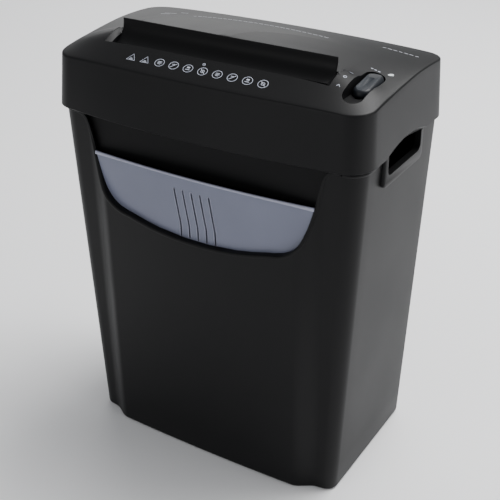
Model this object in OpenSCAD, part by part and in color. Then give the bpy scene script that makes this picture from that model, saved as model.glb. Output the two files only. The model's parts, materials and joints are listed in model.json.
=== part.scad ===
/* [Bin] */
// Height of the bin's rim above the floor
bin_h = 351.7; // [340:0.1:360]
// Half width of the bin at the floor
bin_hw_low = 142.8; // [138:0.1:146]
// Half width of the bin at its rim
bin_hw_top = 160; // [157:0.1:161]
// Wall thickness of the bin
bin_wall = 2.6; // [2:0.1:3]
// Depth of the window's cut-out at its middle, measured down from the rim
cutout_depth = 102; // [95:1:110]

/* [Head] */
// Height at which the head's cover starts
head_z = 352; // [352:0.1:361]
// Half width of the head at its lower edge
head_hw = 165; // [163:0.5:166]
// Half width of the head at its top edge
head_hw_top = 162; // [160:0.5:163]
// Wall thickness of the cover
head_wall = 2.6; // [2:0.1:3]
// Back face of the head at the middle of its width
head_back = 93; // [92:0.5:94]
// How far the lower front edge bows forward at the middle
head_bow = 12; // [8:0.5:12]

/* [Feed] */
// Half width of the paper slot
slot_hw = 110; // [108:0.5:111]
// Half width of the hood over the slot
hood_hw = 112; // [111:0.5:113]
// Height of the hood's ridge above the floor
hood_z = 430.5; // [428:0.5:432]
// Radius of the hood's hollow front face
hood_r = 19.2; // [18:0.1:20]

/* [Cutters] */
// Distance between the two cutter shafts
shaft_gap = 30; // [30:0.5:31]
// Outer radius of a cutter disc
disc_r = 17; // [16.5:0.1:17.2]
// Thickness of a cutter disc
disc_t = 3.7; // [3.4:0.1:3.7]
// Distance between neighbouring discs on one shaft
disc_pitch = 8; // [8:0.1:8]

/* [Gears] */
// Teeth of each small pinion
pinion_teeth = 12; // [12:1:13]
// Teeth of each large wheel in the first two stages
wheel_teeth = 48; // [46:1:48]
// Module of the first two stages
wheel_module = 0.8; // [0.78:0.01:0.8]
// Teeth of the gear that drives the rear shaft
drive_teeth = 40; // [38:1:40]
// Module of the last stage
drive_module = 1; // [0.98:0.01:1]
// Teeth of each gear that joins the two shafts
sync_teeth = 20; // [20:1:20]
// Gap left between meshing teeth
backlash = 0.2; // [0.15:0.01:0.3]

/* [Hidden] */
$fn = 48;
eps = 0.05;

// ---------- shared places ----------
// The shafts, the motor and the two idlers all lie along X, so each axis is a point [y, z].
nip_y = -38;
shaft_z = 362;
front_axis = [nip_y - shaft_gap / 2, shaft_z];
rear_axis = [nip_y + shaft_gap / 2, shaft_z];
motor_axis = [33, 366];
stage_gap = wheel_module * (pinion_teeth + wheel_teeth) / 2;
last_gap = drive_module * (pinion_teeth + drive_teeth) / 2;
idler_a_rise = 3.5;
idler_a_axis = motor_axis + [-sqrt(pow(stage_gap, 2) - pow(idler_a_rise, 2)), idler_a_rise];
idler_b_axis = meeting_point(rear_axis, last_gap, idler_a_axis, stage_gap);

plate_x = 114;
plate_t = 2;
// Layers of the gear train outside the left plate, each [inner x, width]
layer_1 = [-118.6, 4];
layer_2 = [-123.2, 4];
layer_3 = [-127.8, 5];
gear_cover_x = -133.6;

journal_r = 5;
running_gap = 0.05;
hex_r = 5.2;
post_r = 2.5;

// ---------- helpers ----------
function polar(r, a) = [r * cos(a), r * sin(a)];
function mix(a, b, t) = a + (b - a) * t;
function bearing(from, to) = atan2(to[1] - from[1], to[0] - from[0]);

// The upper of the two points at distance ra from a and rb from b
function meeting_point(a, ra, b, rb) =
    let (d = norm(b - a), u = (b - a) / d, s = (ra * ra - rb * rb + d * d) / (2 * d))
    a + u * s + [-u[1], u[0]] * sqrt(ra * ra - s * s);

// A right half of an outline and its mirror image, joined into one loop
function both_halves(half) = concat(
    half,
    [for (i = [len(half) - 1 : -1 : 0]) if (abs(half[i][0]) > eps) [-half[i][0], half[i][1]]]
);

// Stands a drawing that is in Y and Z up in that plane, and extrudes it along X from x0
module along_x(x0, length) {
    translate([x0, 0, 0]) rotate([90, 0, 90]) linear_extrude(length) children();
}

// A round bar along X, centred on an axis point
module bar_x(axis, x0, length, r, fn = 48) {
    translate([x0, axis[0], axis[1]]) rotate([0, 90, 0]) cylinder(h = length, r = r, $fn = fn);
}

// Stands a drawing that is in X and Z up, and extrudes it back along +Y from y0
module along_y(y0, length) {
    translate([0, y0 + length, 0]) rotate([90, 0, 0]) linear_extrude(length) children();
}

// Side faces between rings of n points each; the first index of ring k is k * n
function side_faces(n, first, last) = [
    for (k = [first : last - 1], i = [0 : n - 1])
        [k * n + i, k * n + (i + 1) % n, (k + 1) * n + (i + 1) % n, (k + 1) * n + i]
];

// Flat strips that close a ring, each joining a pair of points to their mirror images across X = 0
function cap_faces(n, first) = [
    for (i = [0 : floor(n / 2) - 1])
        [for (k = [i, i + 1, if (n - i - 1 > i + 1) n - i - 1, if (i > 0) n - i]) first + k]
];

// A closed body through mirrored rings that run anticlockwise from the front, lowest ring first
module loft(rings) {
    n = len(rings[0]);
    last = len(rings) - 1;
    sides = concat(side_faces(n, 0, last), cap_faces(n, last * n));
    polyhedron(
        points = [for (ring = rings) each ring],
        faces = concat(cap_faces(n, 0), [for (f = sides) [for (i = [len(f) - 1 : -1 : 0]) f[i]]]),
        convexity = 6
    );
}

// ---------- the head's outer form ----------
head_front = -81;
head_front_top = -77.6;
crown_hw = 162;

// Height of the crowned top at its sides and along its middle, which peaks under the hood's ridge
function crown_side(y) = y < 27
    ? 409.3 - 8.8 * pow((27 - y) / 100, 1.5)
    : 409.3 - 0.0012 * pow(y - 27, 2);
function crown_middle(y) = y < -31
    ? 430.5 - 14.9 * pow((-31 - y) / 24, 0.924)
    : 430.5 - 0.00152 * pow(y + 31, 2);

// The crown is a plain arch at the back and flattens into a level band along the front
function crown_power(y) = let (t = max(0, min(1, (-20 - y) / 35))) 2 + 4 * t * t * (3 - 2 * t);
function crown(x, y) = mix(crown_middle(y), crown_side(y), pow(min(1, abs(x) / crown_hw), crown_power(y)));

// Plan outline of the head: a rounded rectangle whose front and back bow outwards
function head_outline(hw, front, back, r, bow, back_bow) = let (
        front_half = [for (i = [0 : 8]) let (x = (hw - r) * i / 8) [x, front - bow * (1 - pow(x / hw, 2))]],
        kick = front_half[8][1] - front,
        front_arc = [for (i = [1 : 6]) let (p = polar(r, -90 + 15 * i))
            [hw - r + p[0], front + r + p[1] + kick * (1 - i / 6)]],
        side_run = [for (i = [1 : 5]) [hw, mix(front + r, back - r, i / 6)]],
        back_arc = [for (i = [0 : 6]) [hw - r, back - r] + polar(r, 15 * i)],
        back_half = [for (i = [3 : -1 : 0]) let (x = (hw - r) * i / 4) [x, back + back_bow * (1 - pow(x / hw, 2))]]
    ) both_halves(concat(front_half, front_arc, side_run, back_arc, back_half));

// One ring of the head's side wall, at height z and inset from the outer form
function wall_ring(z, inset) = let (t = (z - head_z) / 48) [
    for (p = head_outline(
        mix(head_hw, head_hw_top, t) - inset,
        mix(head_front, head_front_top, t) + inset,
        head_back - 3 - inset,
        22 - inset / 2,
        mix(head_bow, 3.7, t),
        3
    )) [p[0], p[1], z]
];

// One ring on the crowned top, drawn in towards the middle and lowered
function crown_ring(scale, inset, drop) = let (middle = 4) [
    for (p = wall_ring(head_z + 48, inset)) let (x = p[0] * scale, y = middle + (p[1] - middle) * scale)
        [x, y, crown(x, y) - drop]
];

module head_body(inset, drop) {
    loft(concat(
        [wall_ring(head_z - (inset > 0 ? 1 : 0), inset)],
        [for (s = [1, 0.97, 0.91, 0.83, 0.74, 0.65, 0.56, 0.46, 0.36, 0.26, 0.15, 0.02]) crown_ring(s, inset, s == 1 ? drop + 0.8 : drop)]
    ));
}

// ---------- the bin's outer form ----------
panel_hw = 102;
flute_hw = 128;

// Right half of the bin's plan outline at height z, inset by the wall thickness
function bin_half(z, inset) = let (
        t = z / bin_h,
        hw = mix(bin_hw_low, bin_hw_top, t) - inset,
        column = mix(-74.5, -77, t) + inset,
        panel_end = mix(-86, -87, t) + inset,
        panel_mid = mix(-88, -91, t) + inset,
        back = 89 - inset,
        rf = mix(12, 18, t) - inset / 2,
        rb = mix(14, 16, t) - inset / 2,
        panel = [for (i = [0 : 5]) let (x = panel_hw * i / 5) [x, mix(panel_mid, panel_end, pow(i / 5, 2))]],
        flute = [for (i = [1 : 6]) [mix(panel_hw, flute_hw, i / 6), mix(panel_end, column - 0.5, (1 - cos(30 * i)) / 2)]],
        front_arc = [for (i = [0 : 5]) [hw - rf, column + rf] + polar(rf, -90 + 18 * i)],
        back_arc = [for (i = [0 : 5]) [hw - rb, back - rb] + polar(rb, 18 * i)]
    ) concat(panel, flute, front_arc, back_arc);

function bin_ring(z, inset) = [for (p = both_halves(bin_half(z, inset))) [p[0], p[1], z]];

// The smile-shaped cut-out in the front panel, drawn in X and Z
cutout_low = bin_h - cutout_depth;
flare_z = bin_h - 12;
function cutout_half() = concat(
    [for (i = [0 : 5]) let (x = 15.2 * i) [x, cutout_low + 9.4 * pow(i / 5, 2.2)]],
    [for (i = [1 : 5]) let (a = 90 - 14 * i) [76 + 34 * cos(a) * 1.04, cutout_low + 43.4 - 34 * sin(a)]],
    [for (i = [0 : 4]) [113.8 + 2.7 * i, mix(cutout_low + 43, flare_z, i / 4)]],
    [for (i = [1 : 3]) let (a = 180 - 26 * i) [138.4 + 12.6 * cos(a), flare_z + 10.6 * sin(a)]],
    [[146, bin_h - 0.9], [150, bin_h + 6]]
);

module cutout_shape() {
    polygon(both_halves(cutout_half()));
}

// ---------- gears ----------
pressure = 20;
function involute_turn(t) = t - atan(t * PI / 180);
function involute_roll(r, rb) = sqrt(max(0, pow(r / rb, 2) - 1)) * 180 / PI;

// Outline of an involute spur gear whose first tooth points along the first axis
function gear_points(teeth, m, addendum) = let (
        rp = teeth * m / 2,
        rb = rp * cos(pressure),
        root = rp - 1.25 * m,
        start = max(rb, root),
        tip = rp + addendum * m,
        half = 90 / teeth - backlash / (2 * rp) * 90 / PI + involute_turn(involute_roll(rp, rb)),
        flank = [for (k = [0 : 4]) let (r = mix(start, tip, k / 4)) [r, half - involute_turn(involute_roll(r, rb))]]
    ) [for (i = [0 : teeth - 1]) let (a = 360 * i / teeth) each concat(
        [polar(root, a - half)],
        [for (k = [0 : 4]) polar(flank[k][0], a - flank[k][1])],
        [for (k = [4 : -1 : 0]) polar(flank[k][0], a + flank[k][1])],
        [polar(root, a + half)]
    )];

module gear(axis, x0, width, teeth, m, addendum, turn) {
    along_x(x0, width) translate(axis) rotate(turn) polygon(gear_points(teeth, m, addendum));
}

// Turn that puts a gap of a gear, rather than a tooth, towards its mate
function gap_turn(axis, mate, teeth) = bearing(axis, mate) + 180 / teeth;

// ---------- bin ----------
handle_y = 3;
handle_half = 40;
notch_half = 34;
notch_z = 333;

module handle_boss(side) {
    along_x(side > 0 ? bin_hw_top - 6.5 : -163, 163 - bin_hw_top + 6.5)
        translate([handle_y - handle_half, notch_z - 10]) square([2 * handle_half, bin_h - notch_z + 10]);
}

module handle_notch(side) {
    along_x(side > 0 ? 140 : -170, 30) union() {
        translate([handle_y - notch_half, notch_z + 6]) square([2 * notch_half, 30]);
        translate([handle_y - notch_half + 6, notch_z]) square([2 * notch_half - 12, 30]);
        for (s = [-1, 1]) translate([handle_y + s * (notch_half - 6), notch_z + 6]) circle(6);
    }
}

module cutout_return() {
    flange = 9.5;
    intersection() {
        along_y(-92, 92 - 77.6) difference() {
            offset(delta = bin_wall) cutout_shape();
            cutout_shape();
        }
        loft([bin_ring(200, 1), bin_ring(bin_h - 9, 1)]);
        translate([-panel_hw - 30, -92 + bin_wall - 1, 200]) cube([2 * panel_hw + 60, flange + 6, bin_h - 200]);
    }
}

module waste_bin() {
    color("#1c1c1d") difference() {
        union() {
            difference() {
                loft([bin_ring(0, 2), bin_ring(3, 0), bin_ring(bin_h, 0)]);
                loft([bin_ring(3, bin_wall + 1), bin_ring(6, bin_wall), bin_ring(bin_h + 1, bin_wall)]);
            }
            cutout_return();
            for (side = [-1, 1]) handle_boss(side);
            // Rib that works the head's safety switch
            translate([interlock_x - 4, interlock_y - 5, 305]) cube([8, 90 - bin_wall - interlock_y + 4.5, 18.4]);
        }
        along_y(-100, 100 - 72) cutout_shape();
        for (side = [-1, 1]) handle_notch(side);
    }
}

// ---------- window ----------
window_sag_r = 1160;
window_front = -84.8;
window_t = 2;
window_top = 313;

// A wall that bows forwards by a few millimetres at the middle
module bowed_wall(front, thickness, z0, z1) {
    translate([0, front + window_sag_r, z0]) difference() {
        cylinder(h = z1 - z0, r = window_sag_r, $fn = 720);
        translate([0, 0, -1]) cylinder(h = z1 - z0 + 2, r = window_sag_r - thickness, $fn = 720);
    }
}

// Five pull slots, slanting down to a bend and then straight down
module window_slots() {
    for (i = [0 : 4]) {
        x = -24 + 9.5 * i;
        along_y(-92, 20) polygon([
            [x - 1, 298], [x, 299], [x + 1, 298.2],
            [x + 7, 264], [x + 7.2, cutout_low + 3], [x + 5.2, cutout_low + 3], [x + 5, 263.7]
        ]);
    }
}

module bin_window() {
    color("#6f7482") difference() {
        union() {
            intersection() {
                bowed_wall(window_front, window_t, 240, window_top);
                along_y(-95, 30) cutout_shape();
            }
            intersection() {
                bowed_wall(window_front - 1.4, 3.4, window_top - 4, window_top);
                along_y(-95, 30) cutout_shape();
            }
        }
        window_slots();
    }
}

// ---------- head shells ----------
trough_y = -55;
recess_hw = 117;
recess_floor = 408.5;
hood_ridge_y = -31.5;
hood_t = 1.8;
hood_arc = [hood_ridge_y - hood_r, hood_z - 1.6];

// An arc of the hood's section, from its foot up to its ridge, in Y and Z
function hood_curve(r) = [for (i = [0 : 8]) hood_arc + polar(r, -70 + 70 * i / 8)];

// Section of the space in front of the hood, grown by g below and behind
module trough_section(g) {
    polygon(concat(
        [[trough_y - g, 445], [trough_y - g, recess_floor - g], [hood_curve(hood_r + hood_t + g)[0][0], recess_floor - g]],
        hood_curve(hood_r + hood_t + g),
        [[hood_arc[0] + hood_r + hood_t + g, 445]]
    ));
}

// The shallow roof-shaped cut behind the hood: lowest at its two ends
roof_fall = 0.112;
module roof_section(hw, below, above) {
    z0 = hood_z + 0.5;
    polygon([
        [-hw, z0 - roof_fall * hw - below], [0, z0 - below], [hw, z0 - roof_fall * hw - below],
        [hw, z0 + above], [-hw, z0 + above]
    ]);
}

module scoop(side) {
    depth = 8;
    r = 120;
    translate([side * (head_hw - depth + r), handle_y, head_z - 1]) cylinder(h = 10, r1 = r + 0.9, r2 = r - depth, $fn = 240);
}

// Stiffening behind each scoop, so that the hollow doesn't break through the wall
module scoop_backing(side) {
    depth = 12;
    translate([side > 0 ? head_hw - 1 - depth : 1 - head_hw, handle_y - 46, head_z]) cube([depth, 92, 11]);
}

switch_x = 139;
switch_y = -35.5;
switch_half = 29;
switch_w = 18;
pocket_floor = 404.6;
liner_t = 2.4;

module stadium(half_length, width) {
    union() {
        square([width, 2 * half_length - width], center = true);
        for (s = [-1, 1]) translate([0, s * (half_length - width / 2)]) circle(width / 2);
    }
}

module top_cover() {
    color("#1e1e1f") difference() {
        union() {
            difference() {
                head_body(0, 0);
                head_body(head_wall, head_wall);
            }
            // Liners under the roof-shaped cut, the trough and the switch, kept inside the crown
            intersection() {
                head_body(head_wall / 2, head_wall / 2);
                union() {
                    along_y(-58, 92) roof_section(recess_hw + liner_t, 3, 9);
                    along_x(-recess_hw - liner_t, 2 * (recess_hw + liner_t)) trough_section(liner_t);
                    translate([switch_x, switch_y, pocket_floor - liner_t])
                        linear_extrude(20) stadium(switch_half + 2, switch_w + 4);
                }
            }
            for (side = [-1, 1]) scoop_backing(side);
            for (p = cover_boss_places()) cover_boss(p, head_z + flange_t, 4);
            for (p = board_hole_places()) cover_boss(p, board_top, 3.2);
        }
        along_y(-60, 98) roof_section(recess_hw, 0, 9);
        along_x(-recess_hw, 2 * recess_hw) trough_section(0);
        // Paper slot through the recess floor
        translate([-slot_hw - 1, trough_y, 400]) cube([2 * slot_hw + 2, 7.6, 12]);
        translate([switch_x, switch_y, pocket_floor]) linear_extrude(20) stadium(switch_half, switch_w);
        translate([switch_x, switch_y, 400]) linear_extrude(20) stadium(17, 6);
        translate([power_place[0], power_place[1], 395]) cylinder(h = 30, r = 2.6);
        for (side = [-1, 1]) scoop(side);
        // Cable gland's hole and the screw holes
        translate([gland_x, 80, gland_z]) rotate([-90, 0, 0]) cylinder(h = 20, r = 7);
        for (p = cover_boss_places()) translate([p[0], p[1], head_z]) cylinder(h = 30, r = 1.4);
        for (p = board_hole_places()) translate([p[0], p[1], board_top - 1]) cylinder(h = 15, r = 1.4);
    }
}

// A screw boss that hangs from the crown down to height z
module cover_boss(place, z, r) {
    translate([place[0], place[1], z]) cylinder(h = crown(place[0], place[1]) - head_wall / 2 - z, r = r);
}

function cover_boss_places() = [[-150, -62], [150, -62], [-150, 74], [150, 74]];

function board_hole_places() = [[24, 12], [96, 12], [24, 56], [96, 56]];
board_z = 384;
board_t = 1.6;
board_top = board_z + 12 + board_t;
terminal_y = 32;

power_place = [147, -1];
gland_x = 120;
gland_z = 366;

// A thin visor, hollow to the front, that stands over the slot
module feed_hood() {
    back = hood_curve(hood_r + hood_t);
    color("#171718") along_x(-hood_hw, 2 * hood_hw) polygon(concat(
        hood_curve(hood_r),
        [[hood_ridge_y + 0.3, hood_z - 0.3], [hood_ridge_y + 0.7, hood_z], [hood_ridge_y + 1.3, hood_z]],
        [for (i = [8 : -1 : 0]) back[i]],
        [[back[0][0], recess_floor], [back[0][0] - 1.6, recess_floor]]
    ));
}

// Two plates that lead the paper from the slot down between the cutters
chute_hw = plate_x + plate_t;
chute_top = recess_floor - 2.7;

module feed_chute() {
    color("#2a2a2c") difference() {
        union() {
            along_x(-chute_hw, 2 * chute_hw)
                polygon([[-57, chute_top], [-55, chute_top], [nip_y - 3.4, 382], [nip_y - 5.4, 382]]);
            along_x(-chute_hw, 2 * chute_hw)
                polygon([[-46.8, chute_top], [-44.8, chute_top], [nip_y + 4.4, 382], [nip_y + 2.4, 382]]);
        }
        // Window for the sensor's flap
        translate([-3, -60, 384.5]) cube([6, 28, 17]);
    }
}

tray_z = 326;
tray_front = -73.6;
tray_hw = 139;
apron_hw = 139.5;
flange_t = 2.4;

module tray_plan(inset) {
    polygon([
        [-apron_hw + inset, tray_front + inset], [apron_hw - inset, tray_front + inset],
        [146 - inset, tray_front + 3.6 + inset], [146 - inset, -50 - inset], [tray_hw - inset, -50 - inset],
        [tray_hw - inset, 76 - inset], [-tray_hw + inset, 76 - inset],
        [-tray_hw + inset, -50 - inset], [-146 + inset, -50 - inset], [-146 + inset, tray_front + 3.6 + inset]
    ]);
}

module flange_plan() {
    polygon([for (p = wall_ring(head_z + 1, head_wall + 0.6)) [p[0], p[1]]]);
}

module lower_housing() {
    wall = 2;
    color("#191919") difference() {
        union() {
            translate([0, 0, head_z]) linear_extrude(flange_t) flange_plan();
            translate([0, 0, tray_z]) linear_extrude(head_z + 1 - tray_z) tray_plan(0);
            // Apron behind the bin's cut-out
            translate([-apron_hw, tray_front, 298]) cube([2 * apron_hw, wall, 38]);
        }
        translate([0, 0, tray_z + wall]) linear_extrude(60) tray_plan(wall);
        // Opening below the cutters, where the shreds fall
        translate([-plate_x + 2, tray_front + wall + 4, tray_z - 1]) cube([2 * plate_x - 4, 62, 10]);
        // Finger room over each hand notch of the bin, clear of the cover's stiffening
        for (side = [-1, 1])
            translate([side > 0 ? head_hw - 13.4 : -head_hw - 1, handle_y - 46.4, head_z - 1]) cube([14.4, 92.8, 6]);
        translate([interlock_x, interlock_y, tray_z - 1]) cylinder(h = 10, r = 2.6);
        for (p = cover_boss_places()) translate([p[0], p[1], head_z - 1]) cylinder(h = 6, r = 1.8);
    }
}

// ---------- frame ----------
rod_r = 3;
rod_places = [[-71.5, 384], [8, 340], [2, 396], [58, 350], [60, 384]];

module frame_plate(x0, has_motor) {
    difference() {
        along_x(x0, plate_t) polygon([
            [-71, tray_z + 2], [68, tray_z + 2], [70, 348], [70, 384], [58, 394], [10, 402], [-6, 402],
            [-30, 386], [-34, 382], [-48, 382], [-56, 390], [-75.6, 390], [-77.3, 384], [-77.3, 362], [-71, 356]
        ]);
        for (axis = [front_axis, rear_axis]) bar_x(axis, x0 - 1, plate_t + 2, journal_r + 3);
        for (place = rod_places) bar_x(place, x0 - 1, plate_t + 2, 2);
        if (has_motor) {
            bar_x(motor_axis, x0 - 1, plate_t + 2, 6);
            for (s = [-1, 1]) bar_x(motor_axis + [0, 16 * s], x0 - 1, plate_t + 2, 1.6);
            for (axis = [idler_a_axis, idler_b_axis]) bar_x(axis, x0 - 1, plate_t + 2, post_r);
        }
    }
}

module frame_plate_left() {
    color("#a9adb2") frame_plate(-plate_x - plate_t, true);
}

module frame_plate_right() {
    color("#a9adb2") frame_plate(plate_x, false);
}

module frame_rods() {
    color("#b8bbc0") for (place = rod_places) {
        bar_x(place, -plate_x, 2 * plate_x, rod_r);
        bar_x(place, -plate_x - plate_t - 2.4, 2 * (plate_x + plate_t + 2.4), 1.95);
    }
}

module frame_nuts() {
    color("#c4c7cc") for (place = rod_places, side = [-1, 1])
        along_x(side > 0 ? plate_x + plate_t : -plate_x - plate_t - 2.2, 2.2) translate(place) difference() {
            circle(3.6, $fn = 6);
            circle(1.97);
        }
}

module shaft_bushings() {
    color("#b08d57") for (axis = [front_axis, rear_axis], side = [-1, 1]) difference() {
        union() {
            bar_x(axis, side > 0 ? plate_x : -plate_x - plate_t, plate_t, journal_r + 3);
            bar_x(axis, side > 0 ? plate_x - 1.5 : -plate_x, 1.5, journal_r + 4.5);
        }
        bar_x(axis, side > 0 ? plate_x - 5 : -plate_x - 5, 10, journal_r + running_gap);
    }
}

// A comb whose fingers reach between the discs of one shaft
module comb(bar_y, finger_y, shaft_offset) {
    finger_t = 2.9;
    translate([0, 0, head_z + 2.7]) linear_extrude(16) union() {
        translate([-plate_x, min(bar_y, bar_y + 3 * sign(bar_y - finger_y))]) square([2 * plate_x, 3]);
        for (i = [-14 : 13]) let (x = disc_pitch * i + shaft_offset)
            if (abs(x) < plate_x - 4)
                translate([x - finger_t / 2, min(bar_y, finger_y) - eps]) square([finger_t, abs(bar_y - finger_y) + 2 * eps]);
    }
}

module stripper_comb_front() {
    color("#33363a") comb(front_axis[0] - disc_r - 0.6, front_axis[0] - 10, disc_pitch / 2);
}

module stripper_comb_rear() {
    color("#33363a") comb(rear_axis[0] + disc_r + 0.6, rear_axis[0] + 10, 0);
}

// ---------- cutter shafts ----------
function front_discs() = [for (i = [-13 : 13]) disc_pitch * i];
function rear_discs() = [for (i = [-14 : 13]) disc_pitch * (i + 0.5)];

module shaft(axis, left_end, right_end) {
    hex_hw = plate_x - 1.8;
    union() {
        bar_x(axis, -hex_hw, 2 * hex_hw, hex_r, 6);
        bar_x(axis, left_end, 0.5 - hex_hw - left_end, journal_r);
        bar_x(axis, hex_hw - 0.5, right_end - hex_hw + 0.5, journal_r);
    }
}

// A disc with four hooked teeth, turned a little further at each place along the shaft
module disc_plan(turn) {
    rotate(turn) difference() {
        polygon([for (k = [0 : 3]) each [
            polar(disc_r, 90 * k), polar(disc_r - 2, 90 * k + 5),
            for (j = [0 : 4]) polar(disc_r - 1, 90 * k + 14 + 16 * j), polar(disc_r - 0.7, 90 * k + 86)
        ]]);
        rotate(30) circle(hex_r + 0.05, $fn = 6);
    }
}

module disc_set(axis, places, hand) {
    for (i = [0 : len(places) - 1])
        along_x(places[i] - disc_t / 2, disc_t) translate(axis) disc_plan(hand * 60 * (i % 3));
}

module spacer_set(axis, places) {
    gap = disc_pitch - disc_t;
    for (i = [0 : len(places) - 2]) difference() {
        bar_x(axis, places[i] + disc_t / 2 + 0.05, gap - 0.1, 9);
        bar_x(axis, places[i], disc_pitch, hex_r + 0.05);
    }
}

sync_module = shaft_gap / sync_teeth;
sync_x = plate_x + plate_t + 3;
sync_w = 8;

module sync_gear(axis, mate, meshes_tooth) {
    difference() {
        gear(axis, sync_x, sync_w, sync_teeth, sync_module, 0.9,
            meshes_tooth ? bearing(axis, mate) : gap_turn(axis, mate, sync_teeth));
        bar_x(axis, sync_x - 1, sync_w + 2, journal_r);
    }
}

module clip(axis, x0, shaft_r) {
    along_x(x0, 1) translate(axis) difference() {
        circle(shaft_r + 2);
        circle(shaft_r);
        translate([-shaft_r * 0.7, 0]) square([shaft_r * 1.4, shaft_r + 4]);
    }
}

front_left_end = -plate_x - plate_t - 4;
front_right_end = sync_x + sync_w + 4;
rear_left_end = layer_3[0] - layer_3[1] - 0.3;

module front_shaft() {
    color("#8d9196") shaft(front_axis, front_left_end, front_right_end);
}

module front_cutters() {
    color("#6d7176") disc_set(front_axis, front_discs(), 1);
}

module front_spacers() {
    color("#9fa3a8") spacer_set(front_axis, front_discs());
}

module front_sync_gear() {
    color("#7d8288") sync_gear(front_axis, rear_axis, true);
}

module front_clips() {
    color("#c9ccd0") {
        clip(front_axis, front_left_end + 2, journal_r);
        clip(front_axis, sync_x + sync_w + 0.6, journal_r);
    }
}

module rear_shaft() {
    color("#8d9196") shaft(rear_axis, rear_left_end, front_right_end);
}

module rear_cutters() {
    color("#6d7176") disc_set(rear_axis, rear_discs(), -1);
}

module rear_spacers() {
    color("#9fa3a8") spacer_set(rear_axis, rear_discs());
}

module rear_sync_gear() {
    color("#7d8288") sync_gear(rear_axis, front_axis, false);
}

module rear_drive_gear() {
    color("#7d8288") difference() {
        gear(rear_axis, layer_3[0] - layer_3[1], layer_3[1], drive_teeth, drive_module, 0.75,
            gap_turn(rear_axis, idler_b_axis, drive_teeth));
        bar_x(rear_axis, layer_3[0] - layer_3[1] - 1, layer_3[1] + 2, journal_r);
    }
}

module rear_clips() {
    color("#c9ccd0") {
        clip(rear_axis, -plate_x - plate_t - 4, journal_r);
        clip(rear_axis, sync_x + sync_w + 0.6, journal_r);
    }
}

// ---------- gear train ----------
module gear_posts() {
    color("#b8bbc0") for (axis = [idler_a_axis, idler_b_axis])
        bar_x(axis, gear_cover_x - 2, -plate_x - gear_cover_x + 2, post_r);
}

module idler_gear_a() {
    color("#d8d4c4") difference() {
        union() {
            gear(idler_a_axis, layer_1[0] - layer_1[1], layer_1[1], wheel_teeth, wheel_module, 0.75,
                gap_turn(idler_a_axis, motor_axis, wheel_teeth));
            gear(idler_a_axis, layer_2[0] - layer_2[1], layer_2[1] + 1, pinion_teeth, wheel_module, 0.9,
                bearing(idler_a_axis, idler_b_axis));
        }
        bar_x(idler_a_axis, -140, 30, post_r + running_gap);
    }
}

module idler_gear_b() {
    color("#d8d4c4") difference() {
        union() {
            gear(idler_b_axis, layer_2[0] - layer_2[1], layer_2[1], wheel_teeth, wheel_module, 0.75,
                gap_turn(idler_b_axis, idler_a_axis, wheel_teeth));
            gear(idler_b_axis, layer_3[0] - layer_3[1], layer_3[1] + 1, pinion_teeth, drive_module, 0.9,
                bearing(idler_b_axis, rear_axis));
        }
        bar_x(idler_b_axis, -140, 30, post_r + running_gap);
    }
}

// A plate outside the gears that holds the outer ends of their posts
module gear_cover() {
    leg_places = [rod_places[1], rod_places[4]];
    color("#3a3c40") difference() {
        union() {
            along_x(gear_cover_x - 2, 2) polygon([
                [-34, 350], [0, 334], [16, 334], [66, 378], [66, 388], [58, 392], [-14, 392], [-30, 384], [-36, 364]
            ]);
            for (place = leg_places)
                bar_x(place, gear_cover_x, -plate_x - plate_t - 2.5 - gear_cover_x, 3);
        }
        for (axis = [idler_a_axis, idler_b_axis]) bar_x(axis, gear_cover_x - 3, 4, post_r);
        bar_x(rear_axis, gear_cover_x - 3, 4, journal_r + 2);
    }
}

// ---------- motor ----------
motor_r = 26;
motor_left = -plate_x;
motor_length = 84;
motor_wall = 1.6;

module motor_can() {
    color("#9a9ea3") difference() {
        bar_x(motor_axis, motor_left, motor_length, motor_r);
        bar_x(motor_axis, motor_left + motor_wall, motor_length, motor_r - motor_wall);
        bar_x(motor_axis, motor_left - 1, 4, 3);
        for (s = [-1, 1]) bar_x(motor_axis + [0, 16 * s], motor_left - 1, 4, 1.6);
    }
}

module motor_end_cap() {
    x0 = motor_left + motor_length;
    color("#2f3236") difference() {
        union() {
            bar_x(motor_axis, x0, 3, motor_r);
            bar_x(motor_axis, x0 - 3, 3, motor_r - motor_wall);
            bar_x(motor_axis, x0 + 3, 4, 7);
        }
        bar_x(motor_axis, x0 - 5, 9, 2 + running_gap);
        for (s = [-1, 1]) translate([x0 - 5, motor_axis[0] - 4, motor_axis[1] + s * 18 - 2]) cube([12, 8, 4]);
    }
}

module motor_rotor() {
    x0 = motor_left + 12;
    color("#7a5a3c") union() {
        bar_x(motor_axis, layer_1[0] - layer_1[1] - 0.4, motor_left + motor_length + 3 - layer_1[0] + layer_1[1], 2);
        bar_x(motor_axis, x0, 48, 20);
        bar_x(motor_axis, x0 + 50, 12, 9);
    }
}

module motor_pinion() {
    color("#c8a24a") difference() {
        gear(motor_axis, layer_1[0] - layer_1[1], layer_1[1], pinion_teeth, wheel_module, 0.9,
            bearing(motor_axis, idler_a_axis));
        bar_x(motor_axis, layer_1[0] - layer_1[1] - 1, layer_1[1] + 2, 2);
    }
}

module motor_screws() {
    color("#c4c7cc") for (s = [-1, 1]) {
        bar_x(motor_axis + [0, 16 * s], -plate_x - plate_t - 1.6, plate_t + 5, 1.5);
        bar_x(motor_axis + [0, 16 * s], -plate_x - plate_t - 1.6, 1.6, 2.8);
    }
}

// ---------- controls ----------
knob_y = -27;
knob_half = 18;
knob_w = 16.6;
knob_base = 405;
knob_top = 414.6;

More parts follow.
